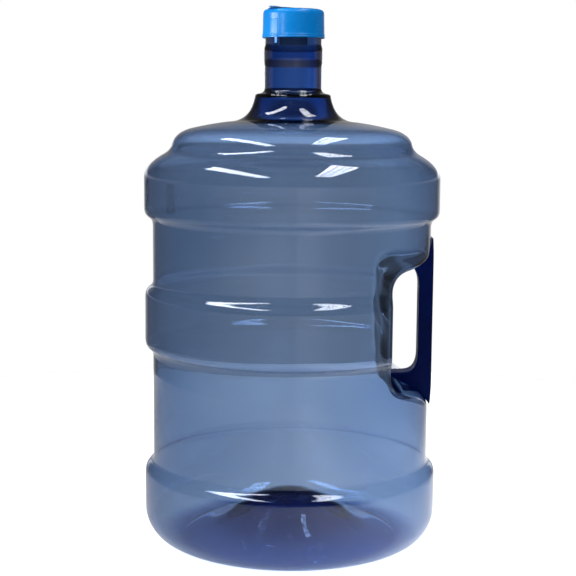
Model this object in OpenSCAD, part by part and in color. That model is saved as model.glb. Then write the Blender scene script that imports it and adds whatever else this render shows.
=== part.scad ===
// Returnable water jug: a blow-moulded bottle with a moulded grip set into its side,
// closed by a push-on cap with a probe well, a push-off plug, a tear strip and a peel label.
// Millimetres, +Z up, origin on the floor at the centre of the base. The grip is on the +X side.

/* [Bottle] */
// Diameter over the three bands
band_d = 272; // [268:0.5:280]
// Diameter of the plain walls between the bands
waist_d = 256.4; // [252:0.5:260]
// Thickness of the blown wall
wall = 1.1; // [1:0.1:2]
// Thickness at the collar, where the blank is hardly stretched
collar_wall = 3.8; // [2.5:0.1:4.5]
// Thickness at the centre of the base
base_wall = 3.4; // [2:0.1:4.5]
// Height of the dome under the base
push_up = 38; // [25:1:42]
// Radius of the ring that the bottle stands on, measured to its outer edge
foot_r = 108; // [104:1:112]

/* [Neck] */
// Outer diameter of the plain shank of the neck
shank_d = 52.2; // [51:0.1:53]
// Diameter of the straight throat
throat_d = 45.8; // [43:0.1:46.5]
// How much wider than the throat the mouth is
mouth_step = 0.8; // [0.4:0.1:1.2]
// Height of the rim above the floor
rim_z = 485.9; // [484:0.1:487]
// Diameter of the snap bead that the cap is held by
bead_d = 53.1; // [52.6:0.1:53.1]

/* [Grip] */
// Distance from the axis to the flat wall behind the finger gap
pocket_x = 88; // [84:0.5:92]
// Distance from the axis to the outer face of the grip bar
bar_x = 131; // [128:0.1:133]
// Thickness of the grip bar, front to back of the hand
bar_t = 13; // [10:0.1:14]
// Width of the grip bar
bar_w = 21; // [18:1:24]

/* [Cap] */
// Diameter of the skirt at the lip
cap_d = 57.2; // [57:0.1:58]
// Height of the lip of the skirt above the floor
cap_z = 463; // [462.5:0.1:464]
// Thickness of the skirt
skirt_t = 0.9; // [0.8:0.05:1]
// Thickness of the deck
deck_t = 1.6; // [1.2:0.1:1.8]
// Bore of the probe well
well_d = 21.2; // [20:0.1:22]
// Width of the tear strip, as an angle round the skirt
strip_deg = 20; // [14:1:26]
// Radius of the peel label
label_r = 23.6; // [20:0.1:24]
// Height that the label's pull tab curls up to
tab_rise = 2.4; // [1:0.1:6]

/* [Hidden] */
$fn = 96;

eps = 0.01;
band_r = band_d / 2;
waist_r = waist_d / 2;
shank_r = shank_d / 2;
throat_r = throat_d / 2;
mouth_r = throat_r + mouth_step / 2;
bead_r = bead_d / 2;

// Heights of the bottle's features
heel_h = 30;
base_band_top = 62;
mid_band_z = [172, 227];
upper_band_z = [292.5, 336];
band_step = 17;
dome_z = 388.7;
collar_z = 410;
shank_z = 418;
bulge_z = 437;
bulge_r = shank_r + 0.65;
mouth_z = 452;
bead_z = 470.4;

function mix(a, b, t) = a + (b - a) * t;
function ease(x, a, b) = let (t = max(0, min(1, (x - a) / (b - a)))) t * t * (3 - 2 * t);

// Points of a cubic curve from a to d, drawn towards b and c, without its first point
function curve(a, b, c, d, n = 6) = [for (i = [1:n]) let (t = i / n, s = 1 - t)
    s ^ 3 * a + 3 * s ^ 2 * t * b + 3 * s * t ^ 2 * c + t ^ 3 * d];

// An S-shaped step in radius from a to b, both [radius, height], steepest in its middle
function s_step(a, b) = let (h = 0.68 * (b[1] - a[1])) curve(a, [a[0], a[1] + h], [b[0], b[1] - h], b, 8);

// The unit vector square to the line from a to b, on its left
function left_of(a, b) = let (d = b - a) [-d[1], d[0]] / norm(d);

// A line of points moved to its left by the distance that f gives at each point
function shifted(pts, f) = [for (i = [0:len(pts) - 1])
    let (u = left_of(pts[max(i - 1, 0)], pts[max(i, 1)]),
        v = left_of(pts[min(i, len(pts) - 2)], pts[min(i + 1, len(pts) - 1)]),
        m = u + v)
    pts[i] + m * 2 * f(pts[i]) / (m * m)];

// ---- Bottle ----

underside = concat(
    [[0, push_up]],
    curve([0, push_up], [32, push_up], [42, 22], [66, 12]),
    curve([66, 12], [80, 6.2], [92, 5.5], [foot_r - 8, 0]));

heel = [for (a = [-90:15:0]) [foot_r, heel_h] + [(band_r - foot_r) * cos(a), heel_h * sin(a)]];

walls = concat(
    [[band_r, base_band_top]],
    s_step([band_r, base_band_top], [waist_r, base_band_top + band_step]),
    [[waist_r, mid_band_z[0]]],
    s_step([waist_r, mid_band_z[0]], [band_r - 0.5, mid_band_z[0] + band_step]),
    [[band_r - 0.5, mid_band_z[1]]],
    s_step([band_r - 0.5, mid_band_z[1]], [waist_r, mid_band_z[1] + band_step]),
    [[waist_r, upper_band_z[0]]],
    s_step([waist_r, upper_band_z[0]], [band_r, upper_band_z[0] + band_step]),
    [[band_r, upper_band_z[1]]]);

shoulder = concat(
    curve([band_r, upper_band_z[1]], [band_r, 348], [124, 355], [117, 359], 8),
    curve([117, 359], [113.5, 361], [112, 363.5], [111.2, 366], 4),
    curve([111.2, 366], [109, 374], [103, 379.5], [90, 382.5]),
    curve([90, 382.5], [76, 385.7], [62, 388], [52, dome_z], 4));

collar = concat(
    curve([52, dome_z], [41, 391.5], [37, 400], [35, collar_z], 8),
    curve([35, collar_z], [34.6, 413], [32.6, 413], [30.5, 413.4], 4),
    curve([30.5, 413.4], [27.5, 414], [shank_r, 415.4], [shank_r, shank_z], 4));

// The finish: a bulge below the cap, a straight wall, a snap bead and the rim
finish_r = shank_r - 0.3;
finish = [[shank_r, bulge_z], [bulge_r, bulge_z + 5], [bulge_r, mouth_z], [bulge_r - 0.25, mouth_z + 2.4],
    [finish_r, mouth_z + 4], [finish_r, bead_z - 1.8], [bead_r, bead_z], [bead_r, bead_z + 1.2],
    [finish_r, bead_z + 3], [finish_r, rim_z - 0.8], [finish_r - 0.8, rim_z]];

blown = concat(underside, heel, walls, shoulder, collar);

function wall_at(p) = p[1] > upper_band_z[1] ? mix(collar_wall, wall, ease(p[0], 36, 62))
    : p[1] < heel_h + push_up / 4 ? mix(base_wall, wall, ease(p[0], 40, 80)) : wall;

// The skin inside the bottle, from the axis up to where it turns into the straight throat
offset_in = shifted(blown, function (p) wall_at(p));
skin = [for (i = [0:len(offset_in) - 1]) let (p = offset_in[i])
    if (p[0] > throat_r || p[1] < collar_z) i == 0 ? [0, p[1]] : p];

// The straight throat, the wider mouth and the chamfer at the rim
throat = [[throat_r, collar_z + 2], [throat_r, mouth_z], [mouth_r, mouth_z + 0.6], [mouth_r, rim_z - 0.6],
    [mouth_r + 0.6, rim_z + eps], [mouth_r + 0.6, rim_z + 5], [0, rim_z + 5]];

// ---- Pocket for the hand, seen along Y ----

pocket_edge = concat(
    [[131, 126]],
    curve([131, 126], [123, 139], [109, 146.5], [99, 151]),
    curve([99, 151], [92, 154], [pocket_x, 159], [pocket_x, 168]),
    [[pocket_x, 242]],
    curve([pocket_x, 242], [pocket_x, 252], [94, 258.6], [103, 259.6]),
    curve([103, 259.6], [110, 260.4], [118, 262.8], [123, 265.4], 4),
    curve([123, 265.4], [127, 267.5], [128.8, 273], [129.8, 282], 4));

module pocket_outline(edge) {
    outside = band_r + 10;
    polygon(concat([[outside, edge[0][1] - 12]], edge, [[outside, edge[len(edge) - 1][1] + 6]]));
}

// The dovetail under the grip's foot, which the wall is blown round
anchor_w = 15;
function anchor_outline(grow) =
    [[95.5 - grow, 154], [102.6 - grow * 0.6, 138 - grow], [104.6, 137.2 - grow],
    [120.4 + grow, 141.2 - grow], [124 + grow, 143]];

module anchor_room(grow) {
    intersection() {
        rotate([90, 0, 0])
            linear_extrude(anchor_w + 2 * grow, center = true) polygon(anchor_outline(grow));
        cylinder(r = waist_r - 1 + grow, h = 200);
    }
}

// The space that the bottle leaves for the hand, right through along Y
module hand_room(edge) {
    rotate([90, 0, 0]) linear_extrude(band_d + 20, center = true) pocket_outline(edge);
}

module jug_body() {
    color([0.42, 0.52, 0.68, 0.55])
    difference() {
        difference() {
            rotate_extrude() polygon(concat(blown, finish, [[0, rim_z]]));
            hand_room(pocket_edge);
            anchor_room(0);
        }
        difference() {
            rotate_extrude() polygon(concat(skin, throat));
            hand_room(shifted(pocket_edge, function (p) wall));
            anchor_room(wall);
        }
    }
}

// ---- Grip ----

module grip_outline() {
    inner_x = bar_x - bar_t;
    intersection() {
        pocket_outline(pocket_edge);
        polygon(concat(
            [[93.5, 140], [93.5, 156.8], [106, 157.2]],
            curve([106, 157.2], [113, 157.6], [inner_x - 0.4, 162], [inner_x, 174], 8),
            [[inner_x, 240]],
            curve([inner_x, 240], [inner_x, 250], [112, 259.4], [103, 259.4], 8),
            [[103, 263], [122, 284], [130.2, 284]],
            curve([130.2, 284], [bar_x, 272], [bar_x, 266], [bar_x, 256]),
            [[bar_x, 156]],
            curve([bar_x, 156], [bar_x, 146], [131, 138], [129.8, 126]),
            [[122, 128]]));
    }
}

// Rounds the outer corners of the bar, seen from above
module grip_plan() {
    corner = 5;
    translate([80, -bar_w / 2]) square([bar_x - corner - 80, bar_w]);
    translate([bar_x - corner - eps, -bar_w / 2 + corner]) square([corner + eps, bar_w - 2 * corner]);
    for (side = [-1, 1]) translate([bar_x - corner, side * (bar_w / 2 - corner)]) circle(corner);
}

module handle() {
    color([0.02, 0.05, 0.25]) {
        intersection() {
            rotate([90, 0, 0]) linear_extrude(bar_w, center = true) grip_outline();
            linear_extrude(400) grip_plan();
        }
        difference() {
            anchor_room(0);
            hand_room(pocket_edge);
            rotate([90, 0, 0]) linear_extrude(anchor_w + 2, center = true)
                polygon([[99.3, 150.6], [104.1, 138.8], [115.2, 141.6], [115.6, 143], [107, 148],
                    [100, 152]]);
        }
    }
}

// ---- Cap ----

lip_h = 3;
liner_t = 1;
deck_z = rim_z + 0.1 + liner_t;
cap_top = deck_z + deck_t;
well_r = well_d / 2;
well_t = 1;
well_z = 455.9;
skirt_r = cap_d / 2 - 0.4;
skirt_in = skirt_r - skirt_t;
strip_mid = 230;
strip_top = 479.5;
strip_gap = 0.3;

cap_outside = concat(
    [[cap_d / 2 - 0.25, cap_z], [cap_d / 2, cap_z + 0.3], [cap_d / 2, cap_z + lip_h - 0.5],
    [skirt_r, cap_z + lip_h + 0.2], [skirt_r - 0.4, cap_top - 5]],
    curve([skirt_r - 0.4, cap_top - 5], [skirt_r - 0.5, cap_top - 2], [skirt_r - 1.4, cap_top - 0.3],
        [skirt_r - 3.8, cap_top]));
hook_r = bead_r + 0.1;
cap_inside = [[skirt_in - 0.4, deck_z], [skirt_in - 0.4, strip_top], [skirt_in, bead_z - 1.4],
    [hook_r, bead_z - 2.2], [hook_r, bead_z - 3], [skirt_in, bead_z - 4.4], [skirt_in, cap_z]];

module skirt_sector(gap, low, high) {
    side = strip_deg / 2 - gap / skirt_r * 180 / PI;
    rotate([0, 0, strip_mid]) rotate_extrude(angle = 2 * side, start = -side)
        translate([20, low]) square([12, high - low]);
}

module cap_walls() {
    rotate_extrude() polygon(concat(cap_outside, [[well_r, cap_top], [well_r, deck_z]], cap_inside));
}

module cap_shell() {
    color([0.05, 0.45, 0.78]) {
        difference() {
            cap_walls();
            skirt_sector(0, cap_z - 1, strip_top);
        }
        rotate_extrude() polygon([[well_r, deck_z + 0.2], [well_r, well_z + 0.6], [well_r + 0.4, well_z],
            [well_r + well_t, well_z + 0.6], [well_r + well_t, deck_z + 0.2]]);
    }
}

module cap_tear_strip() {
    tab_r = skirt_r - 0.1;
    color([0.1, 0.5, 0.82]) {
        intersection() {
            cap_walls();
            skirt_sector(strip_gap, cap_z - 1, strip_top - strip_gap);
        }
        // The pull tab below the lip
        rotate([0, 0, strip_mid + strip_deg / 2 - 6]) rotate_extrude(angle = 5, start = -0.5)
            polygon([[tab_r - 0.7, cap_z + 1], [tab_r - 0.7, cap_z - 4.4], [tab_r - 0.2, cap_z - 5],
                [tab_r + 0.2, cap_z - 4.4], [tab_r + 0.2, cap_z + 1]]);
    }
}

module cap_seal_ring() {
    color([0.85, 0.88, 0.9])
    translate([0, 0, deck_z - liner_t]) difference() {
        cylinder(r = skirt_in - 0.6, h = liner_t);
        translate([0, 0, -1]) cylinder(r = mouth_r, h = liner_t + 2);
    }
}

module cap_plug() {
    plug_r = well_r + well_t + 0.1;
    plug_t = 1.2;
    plug_z = well_z - plug_t - 0.1;
    plug_h = 12;
    color([0.7, 0.85, 0.95])
    rotate_extrude() polygon([[0, plug_z], [plug_r + 0.4, plug_z], [plug_r + 1, plug_z + 0.6],
        [plug_r + 1, plug_z + plug_h], [plug_r, plug_z + plug_h], [plug_r, plug_z + plug_t],
        [0, plug_z + plug_t]]);
}

// Outline of the label: a disc with a round tongue towards +X
module label_outline() {
    tongue_r = 7;
    circle(label_r);
    translate([label_r - tongue_r, -tongue_r]) square([tongue_r - 2, 2 * tongue_r]);
    translate([label_r - 2, 0]) circle(tongue_r);
}

// The label lies on the deck, with its tongue to the front left curling up
module cap_label() {
    fold_x = 14.5;
    tip_x = 30;
    t = 0.3;
    under = concat([[-tip_x, 0], [fold_x, 0]],
        curve([fold_x, 0], [fold_x + 4, 0], [fold_x + 9, tab_rise * 0.5], [tip_x, tab_rise], 5));
    last = len(under) - 1;
    over = [for (i = [last:-1:0]) under[i] + [0, t]];
    color([0.55, 0.85, 0.95])
    translate([0, 0, cap_top + 0.05]) rotate([0, 0, 225]) intersection() {
        rotate([90, 0, 0]) linear_extrude(3 * label_r, center = true) polygon(concat(under, over));
        translate([0, 0, -1]) linear_extrude(tab_rise + 3) label_outline();
    }
}

jug_body();
handle();
cap_shell();
cap_tear_strip();
cap_seal_ring();
cap_plug();
cap_label();
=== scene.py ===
import math

import bpy
import numpy as np
from mathutils import Matrix, Vector


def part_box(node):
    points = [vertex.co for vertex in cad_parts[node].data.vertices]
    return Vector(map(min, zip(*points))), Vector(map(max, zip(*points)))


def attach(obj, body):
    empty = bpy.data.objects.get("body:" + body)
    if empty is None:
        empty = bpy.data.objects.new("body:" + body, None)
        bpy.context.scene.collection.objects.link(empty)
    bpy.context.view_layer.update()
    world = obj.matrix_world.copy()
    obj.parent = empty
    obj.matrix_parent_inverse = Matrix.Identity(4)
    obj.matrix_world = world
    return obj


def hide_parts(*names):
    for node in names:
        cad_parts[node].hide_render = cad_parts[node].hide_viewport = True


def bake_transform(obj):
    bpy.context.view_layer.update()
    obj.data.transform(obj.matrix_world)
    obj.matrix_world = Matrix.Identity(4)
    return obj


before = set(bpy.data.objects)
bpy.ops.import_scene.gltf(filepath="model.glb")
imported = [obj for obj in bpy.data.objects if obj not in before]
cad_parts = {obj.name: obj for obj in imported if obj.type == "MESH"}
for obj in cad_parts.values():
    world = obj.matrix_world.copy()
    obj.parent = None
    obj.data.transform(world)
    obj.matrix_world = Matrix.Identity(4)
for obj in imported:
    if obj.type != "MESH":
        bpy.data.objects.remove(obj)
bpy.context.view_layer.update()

# Lengths are in millimetres until a mesh, light or camera is made.
MM = 0.001


def node_box(node):
    """The lowest and highest corners of a CAD node, in millimetres."""
    return [np.array(corner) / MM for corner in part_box(node)]


jug_high = node_box("jug_body")[1]
grip_low, grip_high = node_box("handle")
cap_low, cap_high = node_box("cap_shell")
plug_low, plug_high = node_box("cap_plug")
ring_low, ring_high = node_box("cap_seal_ring")
strip_low, strip_high = node_box("cap_tear_strip")
label_low, label_high = node_box("cap_label")

# ---- Outlines ----


def curve(a, b, c, d, n=14):
    """Points of a cubic curve from a to d, drawn towards b and c, without its first point."""
    a, b, c, d = (np.array(p, float) for p in (a, b, c, d))
    return [s**3 * a + 3 * s * s * t * b + 3 * s * t * t * c + t**3 * d
            for t in np.arange(1, n + 1) / n for s in [1 - t]]


def s_step(a, b, n=16):
    """An S-shaped step in radius from a to b, both (radius, height), steepest in its middle."""
    lead = 0.68 * (b[1] - a[1])
    return curve(a, (a[0], a[1] + lead), (b[0], b[1] - lead), b, n)


def shifted(points, distance):
    """An open line of points moved to its left by distance(point)."""
    points = np.array(points, float)
    along = np.diff(points, axis=0)
    left = np.stack([-along[:, 1], along[:, 0]], 1) / np.linalg.norm(along, axis=1)[:, None]
    mitre = np.concatenate([left[:1], left]) + np.concatenate([left, left[-1:]])
    reach = np.array([distance(p) for p in points])[:, None]
    return points + mitre * 2 * reach / (mitre**2).sum(1)[:, None]


def rounded(corners, radius, n=4):
    """A closed outline with each corner (x, z) or (x, z, own radius) turned into an arc."""
    out = []
    for i, corner in enumerate(corners):
        p = np.array(corner[:2], float)
        before = np.array(corners[i - 1][:2], float) - p
        after = np.array(corners[(i + 1) % len(corners)][:2], float) - p
        reach_before, reach_after = np.linalg.norm(before), np.linalg.norm(after)
        u, v = before / reach_before, after / reach_after
        half = math.acos(max(-1, min(1, float(u @ v)))) / 2
        own = corner[2] if len(corner) > 2 else radius
        if own == 0 or half > math.radians(86):
            out.append(p)
            continue
        cut = min(own / math.tan(half), reach_before * 0.45, reach_after * 0.45)
        a, b = p + u * cut, p + v * cut
        for t in np.linspace(0, 1, n + 1):
            out.append((1 - t) ** 2 * a + 2 * t * (1 - t) * p + t * t * b)
    return out


def distance_outside(outline, x, z):
    """Signed distance from points to a closed outline: positive outside it, negative inside."""
    outline = np.array(outline, float)
    nearest = np.full(x.shape, 1e9)
    inside = np.zeros(x.shape, bool)
    for (ax, az), (bx, bz) in zip(outline, np.roll(outline, -1, axis=0)):
        dx, dz = bx - ax, bz - az
        t = np.clip(((x - ax) * dx + (z - az) * dz) / (dx * dx + dz * dz), 0, 1)
        nearest = np.minimum(nearest, np.hypot(x - ax - t * dx, z - az - t * dz))
        if dz:
            inside ^= ((az > z) != (bz > z)) & (x < dx * (z - az) / dz + ax)
    return np.where(inside, -nearest, nearest)


def smooth_least(a, b, blend):
    """The lesser of a and b, with a rounded change-over about blend wide."""
    h = np.maximum(blend - np.abs(a - b), 0) / blend
    return np.minimum(a, b) - h * h * blend / 4


def ease(x, low, high):
    t = np.clip((x - low) / (high - low), 0, 1)
    return t * t * (3 - 2 * t)


# ---- Meshes ----


def make_object(name, points, faces, sharp=40):
    """A smooth-shaded mesh object from points in millimetres, with edges over sharp degrees kept sharp."""
    mesh = bpy.data.meshes.new(name)
    mesh.from_pydata((np.array(points) * MM).tolist(), [], [list(f) for f in faces])
    mesh.validate()
    mesh.polygons.foreach_set("use_smooth", [True] * len(mesh.polygons))
    mesh.set_sharp_from_angle(angle=math.radians(sharp))
    obj = bpy.data.objects.new(name, mesh)
    bpy.context.collection.objects.link(obj)
    return obj


def joined(parts):
    """Several (points, faces) as one."""
    points, faces = [], []
    for more_points, more_faces in parts:
        start = len(points)
        points += [tuple(p) for p in more_points]
        faces += [[start + i for i in f] for f in more_faces]
    return points, faces


def apply_modifiers(obj):
    """Bakes an object's modifiers into its mesh."""
    evaluated = obj.evaluated_get(bpy.context.evaluated_depsgraph_get())
    mesh = bpy.data.meshes.new_from_object(evaluated)
    obj.modifiers.clear()
    obj.data = mesh
    return obj


def round_grid(radius, height, angles):
    """(points, faces) of a closed skin round the axis, which it meets at both ends.

    radius and height have a row for each ring and a column for each angle."""
    rows, columns = radius.shape
    turn = np.radians(angles)
    inner = slice(1, rows - 1)
    xyz = np.stack([radius[inner] * np.cos(turn), radius[inner] * np.sin(turn), height[inner]], 2)
    points = [(0, 0, height[0, 0])] + xyz.reshape(-1, 3).tolist() + [(0, 0, height[-1, 0])]
    at = lambda i, j: 1 + i * columns + j % columns
    last = len(points) - 1
    faces = [(0, at(0, j + 1), at(0, j)) for j in range(columns)]
    faces += [(at(i, j), at(i, j + 1), at(i + 1, j + 1), at(i + 1, j))
              for i in range(rows - 3) for j in range(columns)]
    faces += [(last, at(rows - 3, j), at(rows - 3, j + 1)) for j in range(columns)]
    return points, faces


def lathe(section, start=0, end=360, step=2):
    """(points, faces) of a closed section (radius, height), turned from start to end degrees."""
    section = [tuple(p) for p in section]
    whole = end - start >= 360
    count = max(2, round((end - start) / step))
    turns = [start + (end - start) * j / count for j in range(count if whole else count + 1)]
    n = len(section)
    points = [(r * math.cos(math.radians(a)), r * math.sin(math.radians(a)), z)
              for a in turns for r, z in section]
    at = lambda j, i: (j % len(turns)) * n + i % n
    faces = [(at(j, i), at(j + 1, i), at(j + 1, i + 1), at(j, i + 1))
             for j in range(count) for i in range(n)]
    if not whole:
        faces += [list(range(n)), [at(count, i) for i in reversed(range(n))]]
    return points, faces


def prism(outline, width):
    """(points, faces) of an outline in XZ, extruded along Y to both sides of the axis."""
    n = len(outline)
    points = [(x, side * width / 2, z) for side in (-1, 1) for x, z in outline]
    faces = [list(range(n)), [n + i for i in reversed(range(n))]]
    faces += [(i, n + i, n + (i + 1) % n, (i + 1) % n) for i in range(n)]
    return points, faces


# ---- Materials ----


class Nodes:
    """A material's node tree, with short calls to add to it."""

    def __init__(self, name):
        self.material = bpy.data.materials.new(name)
        self.material.use_nodes = True
        self.tree = self.material.node_tree
        self.shader = self.tree.nodes["Principled BSDF"]
        self.place = self.add("ShaderNodeTexCoord").outputs["Object"]

    def fill(self, node, inputs):
        """Links or sets a node's inputs, named with _ for each space."""
        for key, value in inputs.items():
            socket = node.inputs[key.replace("_", " ")]
            if isinstance(value, bpy.types.NodeSocket):
                self.tree.links.new(value, socket)
            else:
                socket.default_value = value
        return node

    def add(self, kind, **inputs):
        return self.fill(self.tree.nodes.new(kind), inputs)

    def set(self, **inputs):
        self.fill(self.shader, inputs)

    def math(self, operation, a, b):
        """The result of a math node on two sockets or numbers."""
        node = self.tree.nodes.new("ShaderNodeMath")
        node.operation = operation
        for socket, value in zip(node.inputs, (a, b)):
            if isinstance(value, bpy.types.NodeSocket):
                self.tree.links.new(value, socket)
            else:
                socket.default_value = value
        return node.outputs[0]

    def noise(self, scale, detail=3, stretch=None):
        """A noise of that many waves to the metre, from 0 to 1."""
        place = self.place
        if stretch:
            place = self.add("ShaderNodeMapping", Vector=place, Scale=stretch).outputs["Vector"]
        node = self.add("ShaderNodeTexNoise", Vector=place, Scale=scale, Detail=detail)
        return node.outputs["Fac"]

    def spread(self, value, low, high, start=0.3, end=0.7):
        """value from start to end becomes low to high."""
        node = self.add("ShaderNodeMapRange", Value=value, From_Min=start, From_Max=end,
                        To_Min=low, To_Max=high)
        return node.outputs["Result"]

    def between(self, value, low, high, start=0.3, end=0.7):
        """A colour between low and high as value goes from start to end."""
        node = self.add("ShaderNodeValToRGB", Fac=value)
        for stop, at, colour in zip(node.color_ramp.elements, (start, end), (low, high)):
            stop.position, stop.color = at, (*colour, 1)
        return node.outputs["Color"]

    def bump(self, height, depth, strength=1.0, below=None):
        node = self.add("ShaderNodeBump", Height=height, Distance=depth, Strength=strength)
        if below:
            self.tree.links.new(below, node.inputs["Normal"])
        return node.outputs["Normal"]


def bottle_material():
    """Clear blue plastic: the tint comes from the thickness of the wall, so the neck and collar are navy."""
    m = Nodes("bottle_plastic")
    ripple = m.bump(m.noise(18, 2, (1, 1, 0.35)), 0.0005, 0.2)
    peel = m.bump(m.noise(160, 3), 0.00004, 0.2, ripple)
    m.set(Base_Color=m.between(m.noise(9), (0.94, 0.97, 1.0), (1.0, 1.0, 1.0)),
          Roughness=m.spread(m.noise(30, 5), 0.0, 0.018), IOR=1.57, Transmission_Weight=1.0,
          Normal=peel)
    tint = m.add("ShaderNodeVolumeAbsorption", Color=(0.37, 0.55, 0.761, 1), Density=1000)
    m.tree.links.new(tint.outputs["Volume"], m.tree.nodes["Material Output"].inputs["Volume"])
    return m.material


def moulded_material(name, dark, light, roughness, grain=0.0001, waves=60, gloss=0.5):
    """Moulded plastic with a little cloudiness in its colour, uneven gloss and a fine skin."""
    m = Nodes(name)
    fine = m.bump(m.noise(900, 4), grain, 0.5)
    scuffs = m.bump(m.noise(220, 6, (1, 1, 0.2)), grain, 0.3, fine)
    m.set(Base_Color=m.between(m.noise(waves, 4), dark, light),
          Roughness=m.spread(m.noise(140, 5), *roughness), IOR=1.5, Specular_IOR_Level=gloss,
          Normal=scuffs)
    return m.material


def set_stops(ramp, stops):
    """Gives a colour ramp grey levels at positions from 0 to 1."""
    while len(ramp.elements) < len(stops):
        ramp.elements.new(0.5)
    for element, (at, level) in zip(ramp.elements, stops):
        element.position, element.color = at, (level, level, level, 1)


def floor_material(shadow_painted_to, plain_from):
    """White floor, with a painted dark blue shadow under the bottle, standing in for the shade there and the
    tinted light that falls through it. Lengths are in metres.

    What the bottle shows of the floor, by reflection or through it, has painted shade: a dark sheet is mixed
    in by position, standing in for a room's shadows."""
    m = Nodes("pale_floor")
    reach = m.add("ShaderNodeVectorMath", Vector=m.place)
    reach.operation = "LENGTH"
    # Painted shadow: dark blue near the axis under the bottle, fading out to the pale floor
    under = m.between(reach.outputs["Value"], (0.015, 0.085, 0.34), (0.92, 0.92, 0.92),
                      shadow_painted_to, plain_from)
    m.set(Base_Color=under, Roughness=m.spread(m.noise(40, 4), 0.55, 0.65),
          Normal=m.bump(m.noise(300), 0.0002, 0.2))
    # Painted shade: for every ray but the camera's, a dark diffuse sheet is mixed in, by an amount that
    # depends on position across and along the floor
    split = m.add("ShaderNodeSeparateXYZ", Vector=m.place)
    aside = m.spread(split.outputs["X"], 0, 1, -0.8, 0.8)
    ramp = m.add("ShaderNodeValToRGB", Fac=aside)
    set_stops(ramp.color_ramp, ((0, 0.8), (0.34, 0.75), (0.4, 0.64), (0.5, 0.56), (0.6, 0.25), (0.66, 0.4),
                                (0.75, 0.75), (1, 0.8)))
    farther = m.spread(split.outputs["Y"], 1.0, 0.72, 0.42, 0.72)
    painted_shade_amount = m.math("MULTIPLY", ramp.outputs["Color"], farther)
    path = m.add("ShaderNodeLightPath")
    not_seen = m.math("LESS_THAN", path.outputs["Is Camera Ray"], 0.5)
    dark = m.add("ShaderNodeBsdfDiffuse", Color=(0.06, 0.06, 0.06, 1))
    mix = m.add("ShaderNodeMixShader", Fac=m.math("MULTIPLY", painted_shade_amount, not_seen))
    m.tree.links.new(m.shader.outputs[0], mix.inputs[1])
    m.tree.links.new(dark.outputs[0], mix.inputs[2])
    m.tree.links.new(mix.outputs[0], m.tree.nodes["Material Output"].inputs["Surface"])
    return m.material


def finish_piece(obj, material, body, slot, *nodes):
    """Gives a piece its material and body, and hides the CAD nodes that it stands for; slot is not used."""
    obj.data.materials.clear()
    obj.data.materials.append(material)
    if body:
        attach(obj, body)
    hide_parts(*nodes)
    return obj


# ---- Bottle ----

band_r = jug_high[1]
waist_r = band_r - 7.8
rim_z = jug_high[2]
dome_z = rim_z - 97.2
collar_z = dome_z + 21.3
neck_r, bulge_r, mouth_r, bead_r = 26.1, 26.75, 25.8, 26.5
throat_r = 22.9
push_up = 38
wall, base_wall, collar_wall = 1.1, 4.6, 3.8
foot_r, heel_h = 108, 30
base_band_top = 62
mid_band_z = (172, 227)
upper_band_z = (292.5, 336)
band_step = 17
pocket_x = 88
pocket_wall, lip_wall = 7.6, 1.2
pocket_blend = 4
anchor_w = 15

underside = [np.array((0, push_up))] + curve((0, push_up), (32, push_up), (42, 22), (66, 12)) + curve(
    (66, 12), (80, 6.2), (92, 5.5), (foot_r - 8, 0))
heel = [np.array((foot_r + (band_r - foot_r) * math.cos(a), heel_h + heel_h * math.sin(a)))
        for a in np.radians(np.arange(-90, 1, 6))]
walls = [np.array((band_r, base_band_top))]
for a, b in (((band_r, base_band_top), (waist_r, base_band_top + band_step)),
             ((waist_r, mid_band_z[0]), (band_r - 0.5, mid_band_z[0] + band_step)),
             ((band_r - 0.5, mid_band_z[1]), (waist_r, mid_band_z[1] + band_step)),
             ((waist_r, upper_band_z[0]), (band_r, upper_band_z[0] + band_step))):
    walls += [np.array(a, float)] + s_step(a, b)
walls = walls[1:] + [np.array((band_r, upper_band_z[1]))]
shoulder = (curve((band_r, upper_band_z[1]), (band_r, 348), (124, 355), (117, 359), 18)
            + curve((117, 359), (113.5, 361), (112, 363.5), (111.2, 366), 8)
            + curve((111.2, 366), (109, 374), (103, 379.5), (90, 382.5))
            + curve((90, 382.5), (76, 385.7), (62, 388), (52, dome_z), 8))
collar = (curve((52, dome_z), (41, 391.5), (37, 400), (35, collar_z), 16)
          + curve((35, collar_z), (34.6, 413), (32.6, 413), (30.5, 413.4), 8)
          + curve((30.5, 413.4), (27.5, 414), (neck_r, 415.4), (neck_r, 418), 8))
# The neck and throat have rings close beside each slope, so that the smooth shading stays even there
neck = ([np.array((neck_r, z)) for z in (418.6, 420, 427, 433, 434)]
        + s_step((neck_r, 434), (bulge_r, 447), 10)
        + [np.array(p) for p in (
            (bulge_r, 448), (bulge_r, 450.5), (bulge_r, 451.5), (26.6, 453.5), (26.2, 455.2),
            (mouth_r, 456.4), (mouth_r, 457.5), (mouth_r, 467.6), (mouth_r, 468.6), (bead_r, 470.3),
            (bead_r, 471.7), (mouth_r, 473.4), (mouth_r, 474.5), (mouth_r, rim_z - 1.6),
            (mouth_r, rim_z - 0.8), (mouth_r - 0.25, rim_z - 0.2), (mouth_r - 0.8, rim_z))])
throat = [np.array(p) for p in (
    (throat_r, collar_z + 2), (throat_r, collar_z + 3), (throat_r, collar_z + 5), (throat_r, 440),
    (throat_r, 451), (throat_r, 451.9), (23.3, 453), (23.3, 454), (23.3, rim_z - 0.7), (23.9, rim_z))]


def wall_at(p):
    """Thickness of the blown wall at a point (radius, height) of its outside."""
    if p[1] > upper_band_z[1]:
        return collar_wall + (wall - collar_wall) * ease(p[0], 36, 62)
    if p[1] < heel_h + push_up / 4:
        return base_wall + (wall - base_wall) * ease(p[0], 40, 80)
    return wall


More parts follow.
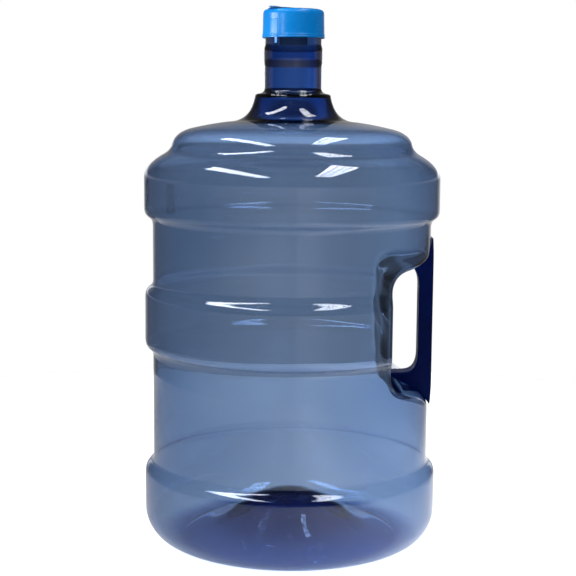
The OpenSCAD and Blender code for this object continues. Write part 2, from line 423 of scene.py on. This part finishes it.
pocket_edge = ([np.array((131, 126))]
               + curve((131, 126), (123, 139), (109, 146.5), (99, 151))
               + curve((99, 151), (92, 154), (pocket_x, 159), (pocket_x, 168), 10)
               + [np.array((pocket_x, 242))]
               + curve((pocket_x, 242), (pocket_x, 252), (94, 258.6), (103, 259.6), 12)
               + curve((103, 259.6), (110, 260.4), (118, 262.8), (123, 265.4), 8)
               + curve((123, 265.4), (127, 267.5), (128.8, 273), (129.8, 282), 8))
anchor = [(95.5, 154), (102.6, 138), (104.6, 137.2), (120.4, 141.2), (124, 143)]
anchor_window = [(99.3, 150.6), (104.1, 138.8), (115.2, 141.6), (115.6, 143), (107, 148), (100, 152)]


def pocket_outline(grow=0.0):
    """The pocket in XZ, grown into the bottle, and closed well outside it."""
    edge = shifted(pocket_edge, lambda p: grow)
    return [(200, edge[0][1] - 40)] + list(edge) + [(200, edge[-1][1] + 40)]


def stepped(stops):
    """Numbers from the first stop on, by the step given with each later stop (end, step)."""
    out = [stops[0]]
    for end, step in stops[1:]:
        count = max(1, round((end - out[-1]) / step))
        out += list(np.linspace(out[-1], end, count + 1)[1:])
    return np.array(out)


pocket_low, pocket_high = 116, 296
wall_heights = stepped([base_band_top, (base_band_top + band_step, 1.4), (118, 3), (134, 1), (156, 0.6),
                        (168, 1),
                        (mid_band_z[0], 2), (mid_band_z[0] + band_step, 1.4), (mid_band_z[1], 3),
                        (mid_band_z[1] + band_step, 1.4), (257, 0.8), (272, 0.4), (280, 0.8),
                        (upper_band_z[0], 2), (upper_band_z[0] + band_step, 1.4), (upper_band_z[1], 3)])
half_turn = stepped([0, (9, 0.5), (54, 1), (180, 2.25)])
angles = np.concatenate([half_turn, -half_turn[-2:0:-1]])


def pocket_thickness(y, z):
    """The wall behind the finger gap is thick and uneven, and thins out to the pocket's lips."""
    flat = ease(z, 148, 160) * (1 - ease(z, 252, 261)) * (1 - ease(np.abs(y), 36, 90))
    uneven = 0.14 * np.sin(z / 11 + y / 31) + 0.1 * np.sin(z / 5.3 - y / 17 + 1)
    return lip_wall + (pocket_wall * (1 + uneven) - lip_wall) * flat


def pressed_in(radius, height, thickness, anchor_gap):
    """The radius of the skin at each ring and angle, where the pocket and the grip's anchor press it in.

    thickness(y, z) and anchor_gap are how far the skin stands off them. The skin is where the smooth least
    of the distances to the round wall, the pocket and the anchor is nothing, which rounds every edge."""
    skin = np.repeat(radius[:, None], len(angles), 1)
    rows = np.flatnonzero((height > pocket_low) & (height < pocket_high))
    columns = np.flatnonzero(np.abs(angles) < 56)
    turn = np.radians(angles[columns])[None, :]
    z = np.repeat(height[rows][:, None], len(columns), 1)
    most = np.repeat(radius[rows][:, None], len(columns), 1)
    low, high = most * 0.5, most.copy()
    outline = pocket_outline()
    for _ in range(18):
        r = (low + high) / 2
        x, y = r * np.cos(turn), r * np.sin(turn)
        gap = distance_outside(outline, x, z) - thickness(y, z)
        dovetail = np.maximum(distance_outside(anchor, x, z), np.abs(y) - anchor_w / 2) - anchor_gap
        gap = smooth_least(smooth_least(gap, dovetail, 1.6), most - r, pocket_blend)
        low, high = np.where(gap > 0, r, low), np.where(gap > 0, high, r)
    skin[np.ix_(rows, columns)] = low
    return skin


def ripple(radius, height, depth, seed):
    """A slow unevenness, always inwards, as a blown wall has."""
    turn = np.radians(angles)[None, :]
    z = height[:, None] / 100
    wave = (np.sin(3 * turn + 2.1 * z + seed) + np.sin(5 * turn - 3.4 * z + 2 * seed)
            + np.sin(2 * turn + 5.7 * z + 3 * seed)) / 6 + 0.5
    return radius - depth * wave * ease(radius, 60, 110) * ease(height, 5, 30)[:, None]


def bottle_rows():
    """Grids of radius and height of the whole skin: the outside upwards, then the inside downwards."""
    wall_r, wall_z = np.array(walls).T
    below, above = np.array(underside + heel), np.array(shoulder + collar + neck)
    outer_r = np.concatenate([below[:, 0], np.interp(wall_heights, wall_z, wall_r), above[:, 0]])
    outer_z = np.concatenate([below[:, 1], wall_heights, above[:, 1]])

    blown = underside + heel + walls + shoulder + collar
    inside = shifted(blown, wall_at)
    first, last = len(underside + heel), len(underside + heel + walls)
    in_walls = inside[first:last]
    in_below, in_above = inside[:first], inside[last:]
    in_above = in_above[(in_above[:, 0] > throat_r) & (in_above[:, 1] < collar_z + 1)]
    in_below[0, 0] = 0
    in_wall_r = np.interp(wall_heights, in_walls[:, 1], in_walls[:, 0])
    inner_r = np.concatenate([in_below[:, 0], in_wall_r, in_above[:, 0], np.array(throat)[:, 0]])
    inner_z = np.concatenate([in_below[:, 1], wall_heights, in_above[:, 1], np.array(throat)[:, 1]])

    outside = ripple(pressed_in(outer_r, outer_z, lambda y, z: 0, 0.15), outer_z, 0.25, 0.4)
    inside = ripple(pressed_in(inner_r, inner_z, pocket_thickness, 0.75), inner_z, 0.25, 0.4)
    inside = ripple(inside, inner_z, 0.3, 2.2)
    radius = np.concatenate([outside, inside[::-1]])
    height = np.concatenate([outer_z, inner_z[::-1]])
    return radius, np.repeat(height[:, None], len(angles), 1)


def embossed_dots(middle=322.5, rows=8, pitch=3.3, stagger=0.8, spacing=1.3):
    """Two upright columns of small round bumps on the left of the upper band, four wide."""
    parts = []
    for turn in (197.5, 219.5):
        for k in range(rows):
            for side in (-1.5, -0.5, 0.5, 1.5):
                lift = (k - (rows - 1) / 2) * pitch + (stagger if side in (-0.5, 1.5) else -stagger)
                parts.append(dot(turn + side * spacing, middle + lift))
    return joined(parts)


def dot(turn, height, size=1.25, rise=1.1, sides=8):
    """A small lens let into the outside of the band."""
    out = np.array((math.cos(math.radians(turn)), math.sin(math.radians(turn)), 0))
    along = np.array((-out[1], out[0], 0))
    centre = out * (band_r - 0.15) + np.array((0, 0, height))
    points = [centre + out * rise]
    for reach, lift in ((0.55, 0.8), (1, 0), (0.6, -0.9)):
        points += [centre + out * rise * lift + size * reach * (
            along * math.cos(a) + np.array((0, 0, math.sin(a))))
            for a in np.radians(np.arange(0, 360, 360 // sides))]
    points.append(centre - out * rise)
    ring = lambda level, i: 1 + level * sides + i % sides
    faces = [(0, ring(0, i), ring(0, i + 1)) for i in range(sides)]
    faces += [(ring(k, i), ring(k + 1, i), ring(k + 1, i + 1), ring(k, i + 1))
              for k in (0, 1) for i in range(sides)]
    faces += [(len(points) - 1, ring(2, i + 1), ring(2, i)) for i in range(sides)]
    return points, faces


def bottle():
    radius, height = bottle_rows()
    points, faces = joined([round_grid(radius, height, angles), embossed_dots()])
    return make_object("bottle_shell", points, faces, 60)


# ---- Grip ----


def grip():
    """The moulded bar, with its ends shaped to the pocket, and the dovetail under its foot."""
    bar_x, bar_w, bar_t = grip_high[0], grip_high[1] - grip_low[1], 13
    pocket_gap, voxel = 0.7, 0.6
    inner_x = bar_x - bar_t
    outline = ([(93.5, 140), (93.5, 156.8), (106, 157.2)]
               + curve((106, 157.2), (113, 157.6), (inner_x - 0.4, 162), (inner_x, 174), 8)
               + [(inner_x, 240)]
               + curve((inner_x, 240), (inner_x, 250), (112, 259.4), (103, 259.4), 8)
               + [(103, 263), (122, 284), (130.2, 284)]
               + curve((130.2, 284), (bar_x, 272), (bar_x, 266), (bar_x, 256), 8)
               + [(bar_x, 156)]
               + curve((bar_x, 156), (bar_x, 146), (131, 138), (129.8, 126), 8)
               + [(122, 128)])
    bar = make_object("grip", *prism(outline, bar_w))
    room = make_object("grip_room", *prism(pocket_outline(pocket_gap), bar_w + 20))
    foot = make_object("grip_foot", *prism(anchor, anchor_w))
    window = make_object("grip_window", *prism(anchor_window, anchor_w + 10))
    for target, kind, other in ((foot, "DIFFERENCE", window), (bar, "INTERSECT", room), (bar, "UNION", foot)):
        cut = target.modifiers.new(kind.lower(), "BOOLEAN")
        cut.operation, cut.object, cut.solver = kind, other, "EXACT"
        apply_modifiers(target)
    remesh = bar.modifiers.new("remesh", "REMESH")
    remesh.mode, remesh.voxel_size, remesh.use_smooth_shade = "VOXEL", voxel * MM, True
    smooth = bar.modifiers.new("smooth", "SMOOTH")
    smooth.factor, smooth.iterations = 0.5, 8
    apply_modifiers(bar)
    for other in (room, foot, window):
        bpy.data.objects.remove(other)
    return bar


# ---- Cap ----

strip_gap, score = 0.3, 0.1
strip_top = strip_high[2] + strip_gap
lip_z = strip_low[2] + 5
deck_z, cap_top = ring_high[2], cap_high[2]
skirt_r, skirt_in, hook_r = cap_high[0] - 0.4, cap_high[0] - 1.3, 26.65
skirt_taper_z = cap_top - 5
well_r, well_t, well_z = 10.6, 1.0, cap_low[2]
strip_start, strip_end = 220, 240


def skirt_at(z):
    """Outer radius of the tapered skirt."""
    return float(np.interp(z, (lip_z + 3.6, skirt_taper_z), (skirt_r, skirt_r - 0.4)))


# The lip with its two ridges, from the bottom edge up to the plain skirt
lip_outside = [(skirt_r - 0.1, lip_z), (skirt_r + 0.4, lip_z + 0.35), (skirt_r + 0.4, lip_z + 1.35),
               (skirt_r + 0.12, lip_z + 1.8), (skirt_r + 0.28, lip_z + 2.3), (skirt_r + 0.28, lip_z + 3.0),
               (skirt_r, lip_z + 3.6)]
# The inside of the skirt over the height of the tear strip, going down past the retaining bead
skirt_inside = [(skirt_in, 469), (hook_r, 468.2), (hook_r, 467.4), (skirt_in, 466), (skirt_in, lip_z)]


def lower_skirt(top):
    """Outline of the skirt's wall from its lip up to a level cut."""
    return rounded(lip_outside + [(skirt_at(top), top, 0.12), (skirt_in - 0.4, top, 0.12)] + skirt_inside,
                   0.22, 3)


def cap_section():
    top_edge = curve((skirt_r - 0.4, skirt_taper_z), (skirt_r - 0.5, cap_top - 2),
                     (skirt_r - 1.4, cap_top - 0.3), (skirt_r - 3.8, cap_top), 10)
    return rounded(
        lip_outside + [(skirt_at(strip_top), strip_top, 0), (skirt_r - 0.4, skirt_taper_z, 0)]
        + [(r, z, 0) for r, z in top_edge]
        + [(well_r, cap_top, 0.5), (well_r, well_z + 0.6), (well_r + well_t / 2, well_z),
           (well_r + well_t, well_z + 0.6), (well_r + well_t, deck_z, 0.5), (skirt_in - 0.4, deck_z, 0.6),
           (skirt_in - 0.4, strip_top, 0)] + skirt_inside, 0.22, 3)


def cap_shell():
    """The skirt, deck and well, with the tear strip's stretch left out of the skirt."""
    section = np.array(cap_section())
    n = len(section)
    at_cut = np.flatnonzero(np.abs(section[:, 1] - strip_top) < 1e-6)
    outer_cut, inner_cut = at_cut[0], at_cut[-1]
    inside_notch = list(np.linspace(strip_start, strip_end, 11))
    turns = inside_notch + list(np.linspace(strip_end, strip_start + 360, 171)[1:-1])
    points = [(r * math.cos(math.radians(a)), r * math.sin(math.radians(a)), z)
              for a in turns for r, z in section]
    at = lambda j, i: (j % len(turns)) * n + i % n
    faces = []
    for j in range(len(turns)):
        if j < len(inside_notch) - 1:
            rows = range(outer_cut, inner_cut)
            faces.append((at(j, inner_cut), at(j + 1, inner_cut), at(j + 1, outer_cut), at(j, outer_cut)))
        else:
            rows = range(n)
        faces += [(at(j, i), at(j + 1, i), at(j + 1, i + 1), at(j, i + 1)) for i in rows]
    wall = list(range(outer_cut + 1)) + list(range(inner_cut, n))
    last = len(inside_notch) - 1
    faces.append([at(0, i) for i in reversed(wall)])
    faces.append([at(last, i) for i in wall])
    return make_object("cap_body", points, faces, 42)


def tear_strip():
    """The strip between the score lines, with its pull tab below the lip."""
    left_gap, right_gap = math.degrees(score / skirt_r), math.degrees(strip_gap / skirt_r)
    band = lathe(lower_skirt(strip_top - score), strip_start + left_gap, strip_end - right_gap, 2)
    tab_r = skirt_r - 0.1
    tab = rounded([(tab_r - 0.7, strip_low[2]), (tab_r + 0.2, strip_low[2]), (tab_r + 0.2, lip_z + 1),
                   (tab_r - 0.7, lip_z + 1)], 0.3, 4)
    middle = strip_end - 4
    return make_object("tear_strip", *joined([band, lathe(tab, middle - 2.5, middle + 2.5, 0.5)]), 42)


def seal_ring():
    inner, outer = 23.3, ring_high[0]
    section = rounded([(inner, ring_low[2]), (outer, ring_low[2]), (outer, ring_high[2]),
                       (inner, ring_high[2])], 0.25, 3)
    return make_object("seal_ring", *lathe(section), 42)


def probe_plug():
    """The cup over the end of the well."""
    bottom, top, outer = plug_low[2], plug_high[2], plug_high[0]
    floor_t, inner = 1.2, outer - 1
    section = np.array(rounded(
        [(0, bottom, 0), (outer - 0.6, bottom, 0.4), (outer, bottom + 0.6, 0.4), (outer, top - 0.8, 0.3),
         (outer - 0.4, top, 0.2), (inner, top, 0.2), (inner, bottom + floor_t, 0.5),
         (0, bottom + floor_t, 0)], 0.3))
    turns = np.arange(0, 360, 4.0)
    grids = [np.repeat(column[:, None], len(turns), 1) for column in section.T]
    return make_object("probe_plug", *round_grid(*grids, turns), 42)


label_turn = 225
label_r, label_t = 23.6, 0.3
tongue_r, tongue_x = 7, 21.6
fold_x = 14.5


def peel_label():
    """The thin label lying on the deck, with its tongue curling up to the front left."""
    under = label_low[2]
    tip_x = tongue_x + tongue_r
    rise = label_high[2] - under - label_t
    curl = np.array([(fold_x, 0)] + curve((fold_x, 0), (18.5, 0), (23.5, rise / 2), (30, rise)))
    rings = []
    for t in np.linspace(0.012, 0.988, 71):
        u = (tip_x - label_r) / 2 - (tip_x + label_r) / 2 * math.cos(math.pi * t)
        disc = math.sqrt(max(label_r**2 - u * u, 0))
        tongue = tongue_r if 0 < u < tongue_x else math.sqrt(max(tongue_r**2 - (u - tongue_x) ** 2, 0))
        if u < 0:
            tongue = 0
        half = float(-smooth_least(np.array(-disc), np.array(-tongue), 2.0))
        half = min(half, math.sqrt(max((tip_x - u) * (u + label_r), 0)) * 1.2)
        lift = float(np.interp(u, *curl.T))
        across = np.linspace(-1, 1, 25)
        edge = np.sqrt(np.maximum(1 - across**6, 0))
        swell = 0.06 * (1 + math.sin(u * 0.7)) * across**2 * (1 if lift < rise - 0.3 else 0)
        base = under + lift + swell
        middle = base + label_t / 2
        lower = [(u, s * half, m - label_t / 2 * e) for s, m, e in zip(across, middle, edge)]
        upper = [(u, s * half, m + label_t / 2 * e) for s, m, e in zip(across, middle, edge)]
        rings.append(lower + upper[-2:0:-1])
    n = len(rings[0])
    points = [p for ring in rings for p in ring]
    faces = [(k * n + i, (k + 1) * n + i, (k + 1) * n + (i + 1) % n, k * n + (i + 1) % n)
             for k in range(len(rings) - 1) for i in range(n)]
    faces += [list(range(n)), [(len(rings) - 1) * n + i for i in reversed(range(n))]]
    obj = make_object("peel_label", points, faces, 50)
    obj.data.transform(Matrix.Rotation(math.radians(label_turn), 4, "Z"))
    return obj


# ---- Pieces ----

bottle_look = bottle_material()
grip_look = moulded_material("grip_navy", (0.0001, 0.003, 0.036), (0.0004, 0.005, 0.052), (0.25, 0.4),
                             gloss=0.04)
cap_look = moulded_material("cap_blue", (0.001, 0.19, 0.58), (0.003, 0.22, 0.64), (0.2, 0.3), waves=45,
                            gloss=0.3)
strip_look = moulded_material("strip_blue", (0.001, 0.19, 0.58), (0.004, 0.23, 0.65), (0.2, 0.3), waves=80,
                              gloss=0.3)
liner_look = moulded_material("liner_foam", (0.72, 0.76, 0.8), (0.84, 0.87, 0.9), (0.6, 0.8), grain=0.0003)
plug_look = moulded_material("plug_pale", (0.5, 0.68, 0.84), (0.6, 0.77, 0.9), (0.35, 0.5))
label_look = moulded_material("label_film", (0.42, 0.82, 0.93), (0.54, 0.88, 0.96), (0.2, 0.34), waves=110)

shell = finish_piece(bottle(), bottle_look, "jug", "bottle", "jug_body")
bar = finish_piece(grip(), grip_look, "jug", "grip", "handle")
cap = finish_piece(cap_shell(), cap_look, "cap", "cap", "cap_shell")
strip = finish_piece(tear_strip(), strip_look, "tear_strip", "cap", "cap_tear_strip")
ring = finish_piece(seal_ring(), liner_look, "cap", "liner", "cap_seal_ring")
plug = finish_piece(probe_plug(), plug_look, "plug", "plug", "cap_plug")
label = finish_piece(peel_label(), label_look, None, "label", "cap_label")


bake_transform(label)

# ---- Stage: floor, room, lights and camera, in metres ----

floor_radius = 0.83
zenith = 0.08  # Grey level overhead, low because the collar mirrors it


def make_floor():
    """A wide disc just below the base, with its rim turned down."""
    turns = np.radians(np.arange(0, 360, 2))
    points, faces = [], []
    levels = ((floor_radius, -3.4), (floor_radius - 0.004, -0.05), (0.4, -0.05), (0.15, -0.05))
    for r, z in levels:
        points += [(r / MM * math.cos(a), r / MM * math.sin(a), z) for a in turns]
    n = len(turns)
    for k in range(len(levels) - 1):
        faces += [(k * n + i, k * n + (i + 1) % n, (k + 1) * n + (i + 1) % n, (k + 1) * n + i)
                  for i in range(n)]
    faces.append([(len(levels) - 1) * n + i for i in range(n)])
    floor = make_object("floor", points, faces, 60)
    floor.data.materials.append(floor_material(0.1, 0.132))
    return floor


def make_room():
    """White behind the object, and a plain room, grey behind and darker in front, in all that it shows."""
    world = bpy.data.worlds.new("room")
    bpy.context.scene.world = world
    world.use_nodes = True
    nodes, links = world.node_tree.nodes, world.node_tree.links
    nodes.clear()

    def ramp(value, stops):
        """Grey levels at heights or sides from -1 to 1."""
        spread = nodes.new("ShaderNodeMapRange")
        spread.inputs["From Min"].default_value = -1
        links.new(value, spread.inputs["Value"])
        node = nodes.new("ShaderNodeValToRGB")
        links.new(spread.outputs["Result"], node.inputs["Fac"])
        set_stops(node.color_ramp, [((at + 1) / 2, level) for at, level in stops])
        return node.outputs["Color"]

    def mixed(kind, amount, a, b):
        node = nodes.new("ShaderNodeMix")
        node.data_type, node.blend_type = "RGBA", kind
        if isinstance(amount, bpy.types.NodeSocket):
            links.new(amount, node.inputs["Factor"])
        else:
            node.inputs["Factor"].default_value = amount
        links.new(a, node.inputs["A"])
        links.new(b, node.inputs["B"])
        return node.outputs["Result"]

    place = nodes.new("ShaderNodeTexCoord")
    split = nodes.new("ShaderNodeSeparateXYZ")
    links.new(place.outputs["Generated"], split.inputs[0])
    up, back = split.outputs["Z"], split.outputs["Y"]
    behind = ramp(up, ((-1, 0.6), (-0.3, 0.5), (-0.18, 0.47), (-0.015, 0.47), (0.004, 1.2), (0.052, 1.2),
                       (0.09, 0.35), (0.3, 0.25), (0.6, zenith), (1, zenith)))
    in_front = ramp(up, ((-1, 0.6), (-0.3, 0.55), (-0.03, 0.55), (0.005, 0.04), (0.4, 0.06), (0.6, zenith),
                         (1, zenith)))
    beside = ramp(back, ((-1, 1), (-0.3, 0.3), (0.2, 0.25), (0.87, 0.27), (0.957, 1)))
    on_right = ramp(split.outputs["X"], ((-1, 1), (0.05, 1), (0.09, 1.4), (0.3, 1.4), (0.5, 1), (1, 1)))
    front_or_back = ramp(back, ((-1, 0), (-0.1, 0), (0.1, 1), (1, 1)))
    # Overhead, the light doesn't fall off to the sides
    overhead = ramp(up, ((-1, 0), (0.3, 0), (0.7, 1), (1, 1)))
    white = ramp(up, ((-1, 1), (1, 1)))
    fall_off = mixed("MIX", overhead, mixed("MULTIPLY", 1, beside, on_right), white)
    room_light = mixed("MULTIPLY", 1, mixed("MIX", front_or_back, in_front, behind), fall_off)
    room, backdrop = nodes.new("ShaderNodeBackground"), nodes.new("ShaderNodeBackground")
    links.new(room_light, room.inputs["Color"])
    backdrop.inputs["Color"].default_value = (1, 1, 1, 1)
    path, mix = nodes.new("ShaderNodeLightPath"), nodes.new("ShaderNodeMixShader")
    links.new(path.outputs["Is Camera Ray"], mix.inputs["Fac"])
    links.new(room.outputs[0], mix.inputs[1])
    links.new(backdrop.outputs[0], mix.inputs[2])
    links.new(mix.outputs[0], nodes.new("ShaderNodeOutputWorld").inputs["Surface"])


def light_panel(name, centre, width, length, turn, radiance, cells=(1, 1), cell_fill=0.8):
    """A rectangular light facing down, turned about the vertical; a louvre may divide it into cells."""
    across, along = cells
    points, faces = [], []
    for i in range(across):
        for j in range(along):
            x, y = (i + 0.5) / across - 0.5, (j + 0.5) / along - 0.5
            half_x, half_y = (0.5 / n * (cell_fill if n > 1 else 1) for n in cells)
            faces.append([len(points) + k for k in (0, 3, 2, 1)])
            points += [((x + a * half_x) * width / MM, (y + b * half_y) * length / MM, 0)
                       for a, b in ((-1, -1), (1, -1), (1, 1), (-1, 1))]
    obj = make_object(name, points, faces)
    glow = bpy.data.materials.new(name)
    glow.use_nodes = True
    glow.node_tree.nodes.clear()
    emit = glow.node_tree.nodes.new("ShaderNodeEmission")
    emit.inputs["Strength"].default_value = radiance
    out = glow.node_tree.nodes.new("ShaderNodeOutputMaterial")
    glow.node_tree.links.new(emit.outputs[0], out.inputs["Surface"])
    obj.data.materials.append(glow)
    obj.matrix_world = Matrix.Translation(centre) @ Matrix.Rotation(math.radians(turn), 4, "Z")
    obj.visible_camera = False


def soft_light(name, azimuth, elevation, width, tall, radiance, pieces, height=cap_high[2] * MM):
    """A soft light that reaches only the given pieces, aimed at the axis at that height.

    azimuth is from the front, positive to the right."""
    data = bpy.data.lights.new(name, "AREA")
    data.shape, data.size, data.size_y = "RECTANGLE", width, tall
    data.energy = radiance * 4 * width * tall
    obj = bpy.data.objects.new(name, data)
    bpy.context.collection.objects.link(obj)
    side, rise, distance = math.radians(azimuth), math.radians(elevation), 2.5
    away = Vector((math.sin(side) * math.cos(rise), -math.cos(side) * math.cos(rise), math.sin(rise)))
    obj.matrix_world = (Matrix.Translation(away * distance + Vector((0, 0, height)))
                        @ away.to_track_quat("Z", "Y").to_matrix().to_4x4())
    reached = bpy.data.collections.new(name)
    for piece in pieces:
        reached.objects.link(piece)
    obj.light_linking.receiver_collection = reached


def make_camera():
    distance, height, focal_px, frame_px = 1.2693, 0.4045, 1375.57, 576
    down, yaw, roll = math.radians(7.646), math.radians(0.14), math.radians(0.48)
    camera = bpy.data.cameras.new("camera")
    camera.sensor_width = 36
    camera.lens = camera.sensor_width * focal_px / frame_px
    camera.clip_start = 0.05
    obj = bpy.data.objects.new("camera", camera)
    bpy.context.collection.objects.link(obj)
    obj.matrix_world = (Matrix.Translation((0, -distance, height)) @ Matrix.Rotation(yaw, 4, "Z")
                        @ Matrix.Rotation(math.pi / 2 - down, 4, "X") @ Matrix.Rotation(roll, 4, "Z"))
    bpy.context.scene.camera = obj


floor = make_floor()
make_room()
light_panel("ceiling_left", (-1.15, -0.7, 2.4), 0.45, 2.6, 12, 13)
light_panel("ceiling_right", (0.8, -0.45, 2.4), 0.52, 2.0, 3, 15, cells=(4, 9))
shell.visible_shadow = False
soft_light("cap_left", -77, 2, 1.3, 1.0, 11, (cap, strip))
soft_light("cap_front_left", -41, 2, 0.4, 1.0, 6, (cap, strip))
soft_light("cap_fill", 30, 50, 2.2, 1.8, 1.6, (cap, strip, ring, plug, label, bar))
soft_light("label_light", -35, -4, 1.5, 1.0, 2, (label,))
soft_light("floor_light", 0, 89, 3.5, 3.5, 2.6, (floor,), 0)
make_camera()
bpy.context.scene.view_settings.view_transform = "Standard"
